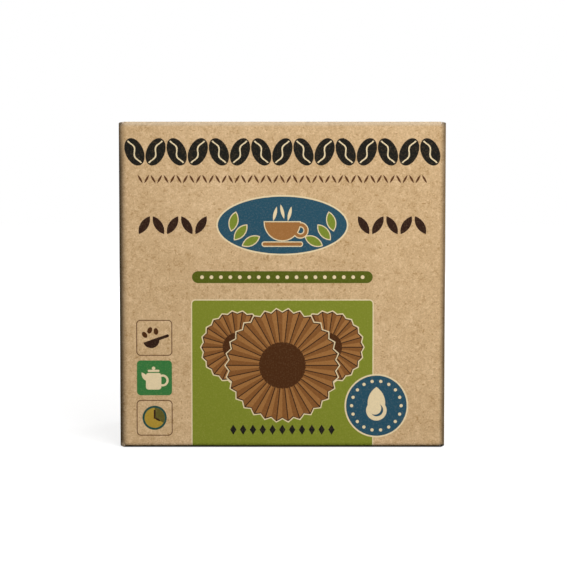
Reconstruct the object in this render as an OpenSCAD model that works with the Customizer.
// Sealed folding carton of kraft board, holding a nested stack of paper coffee filters.
// One printed blank is creased into a tube, glued along one upright corner and closed by
// glued flaps at the top and the bottom, so the pack is a single solid.
// Millimetres, +Z up, front panel towards -Y, origin at the centre of the base.

/* [Carton] */
// Width, across the front panel
carton_w = 152; // [80:1:260]
// Depth, from the front panel to the back panel
carton_d = 98; // [40:1:180]
// Height, from the bottom closure to the top closure
carton_h = 152; // [60:1:260]

/* [Board] */
// Thickness of the board
board_t = 0.5; // [0.3:0.05:1]
// Inside radius of every creased fold
crease_r = 1.5; // [0.3:0.1:2]

/* [Closures] */
// Gap between the free edge of an outer flap and the outside of the back panel
edge_gap = 1; // [0.2:0.1:4]
// Cut taken off each end of a flap, so that it clears the upright folds when it closes
corner_relief = 0.15; // [0.1:0.05:2]

/* [Glued seam] */
// Distance from the cut edge of the left panel to the outside of the back panel
seam_inset = 1; // [0.2:0.1:3]

/* [Hidden] */
$fn = 48;
// Outside radius of every creased fold
fold_r = crease_r + board_t;
// Outermost planes of the side panels and of the front and back panels
side_x = carton_w / 2;
front_y = -carton_d / 2;
back_y = carton_d / 2;
// How far each pair of flaps lies under the outside of its closure, the first to close the deepest
dust_depth = 2 * board_t;
inner_depth = board_t;
// Where the panels start to fold in, below the outside of a closure
fold_start = dust_depth + fold_r;
// Middle of a crease, where the cut between two flaps ends, below the outside of its flap
crease_middle = fold_r * (1 - PI / 4);
// Ends of the flaps that hang on the front and back panels, and on the side panels
flap_end_x = side_x - fold_r - corner_relief;
flap_end_y = back_y - fold_r - corner_relief;
// Left-hand end of the back panel's flaps, where the panel folds in under the left panel
seam_end_x = flap_end_x - board_t;
// Corners of a profile, as 0 or 1 for its low or high side in each direction
LOW_LOW = [0, 0];
HIGH_LOW = [1, 0];
LOW_HIGH = [0, 1];
HIGH_HIGH = [1, 1];
ALL_ROUND = [LOW_LOW, HIGH_LOW, LOW_HIGH, HIGH_HIGH];

// Rectangle between two corners, with a fold of radius r on the corners that are named
module folded_profile(low, high, corners, r = fold_r) {
    size = high - low;
    difference() {
        translate(low) square(size);
        for (corner = corners)
            translate(low + [corner.x * size.x, corner.y * size.y])
                square(2 * r, center = true);
    }
    for (corner = corners)
        translate(low + [corner.x * size.x, corner.y * size.y]
                      + r * [1 - 2 * corner.x, 1 - 2 * corner.y])
            circle(r);
}

// Outline of the four panels: the back panel ends in a fold one board inside the left panel,
// whose cut edge laps over the glued tab
module tube_outline() {
    folded_profile([-side_x + board_t, front_y], [side_x, back_y], ALL_ROUND);
    folded_profile([-side_x, front_y], [0, back_y - seam_inset], [LOW_LOW]);
}

// Inside of the board: one board in, and two where the tab lies behind the left panel
module tube_inside() {
    folded_profile([-side_x + 2 * board_t, front_y + board_t], [side_x - board_t, back_y - board_t],
                   ALL_ROUND, crease_r);
    folded_profile([-side_x + board_t, front_y + board_t], [0, 0], [LOW_LOW], crease_r);
}

// The parts of a section past the ends of the flaps, one at each upright fold
module past_flap_ends() {
    difference() {
        square([2 * carton_w, 2 * carton_d], center = true);
        translate([-flap_end_x, -carton_d]) square([2 * flap_end_x, carton_d]);
        translate([-seam_end_x, 0]) square([seam_end_x + flap_end_x, carton_d]);
        translate([-carton_w, -flap_end_y]) square([2 * carton_w, 2 * flap_end_y]);
    }
}

// The packed tube, up to where the side panels start to fold in
module tube() {
    translate([0, 0, fold_start]) linear_extrude(carton_h - 2 * fold_start) tube_outline();
}

// What is cut away above the end of one curl, at the corner towards +X and +Y: the cut slants from
// one depth below the closure's outside, beside a flap, down to the crease of the dust flap
module above_curl_end(depth) {
    run = fold_r * sqrt(2);
    fall = crease_middle + dust_depth - depth;
    start = [-run, depth - fall];
    end = [2 * run, depth + 2 * fall];
    translate([side_x - fold_r, back_y, 0]) rotate([90, 0, -45])
        linear_extrude(2 * run, center = true)
            polygon([start, end, [end.x, -fold_r], [start.x, -fold_r]]);
}

// The upright folds run on past the flaps' ends, as four curls of board round an open corner
module corner_curls() {
    for (top = [0, 1])
        translate([0, 0, top * carton_h]) mirror([0, 0, top]) difference() {
            linear_extrude(fold_start) intersection() {
                difference() {
                    tube_outline();
                    tube_inside();
                }
                past_flap_ends();
            }
            for (left = [0, 1]) mirror([left, 0, 0]) {
                above_curl_end(crease_middle + inner_depth);
                mirror([0, 1, 0]) above_curl_end(crease_middle);
            }
        }
}

// A profile in Y and Z, carried along X from one end to the other
module along_x(from_x, to_x) {
    translate([from_x, 0, 0]) rotate([90, 0, 90]) linear_extrude(to_x - from_x) children();
}

// A profile in X and Z, carried along Y between two equal ends
module along_y(end_y) {
    translate([0, end_y, 0]) rotate([90, 0, 0]) linear_extrude(2 * end_y) children();
}

// Dust flaps: the first to close, folded in from the side panels
module dust_flaps() {
    along_y(flap_end_y)
        folded_profile([-side_x, dust_depth], [side_x, carton_h - dust_depth], ALL_ROUND);
}

// Inner flaps: folded forwards from the back panel over the dust flaps
module inner_flaps() {
    along_x(-seam_end_x, flap_end_x)
        folded_profile([0, inner_depth], [back_y, carton_h - inner_depth], [HIGH_LOW, HIGH_HIGH]);
}

// Outer flaps: folded back from the front panel and glued down over everything else
module outer_flaps() {
    along_x(-flap_end_x, flap_end_x)
        folded_profile([front_y, 0], [back_y - edge_gap, carton_h], [LOW_LOW, LOW_HIGH]);
}

module carton() {
    color([0.76, 0.65, 0.49]) union() {
        tube();
        corner_curls();
        dust_flaps();
        inner_flaps();
        outer_flaps();
    }
}

carton();
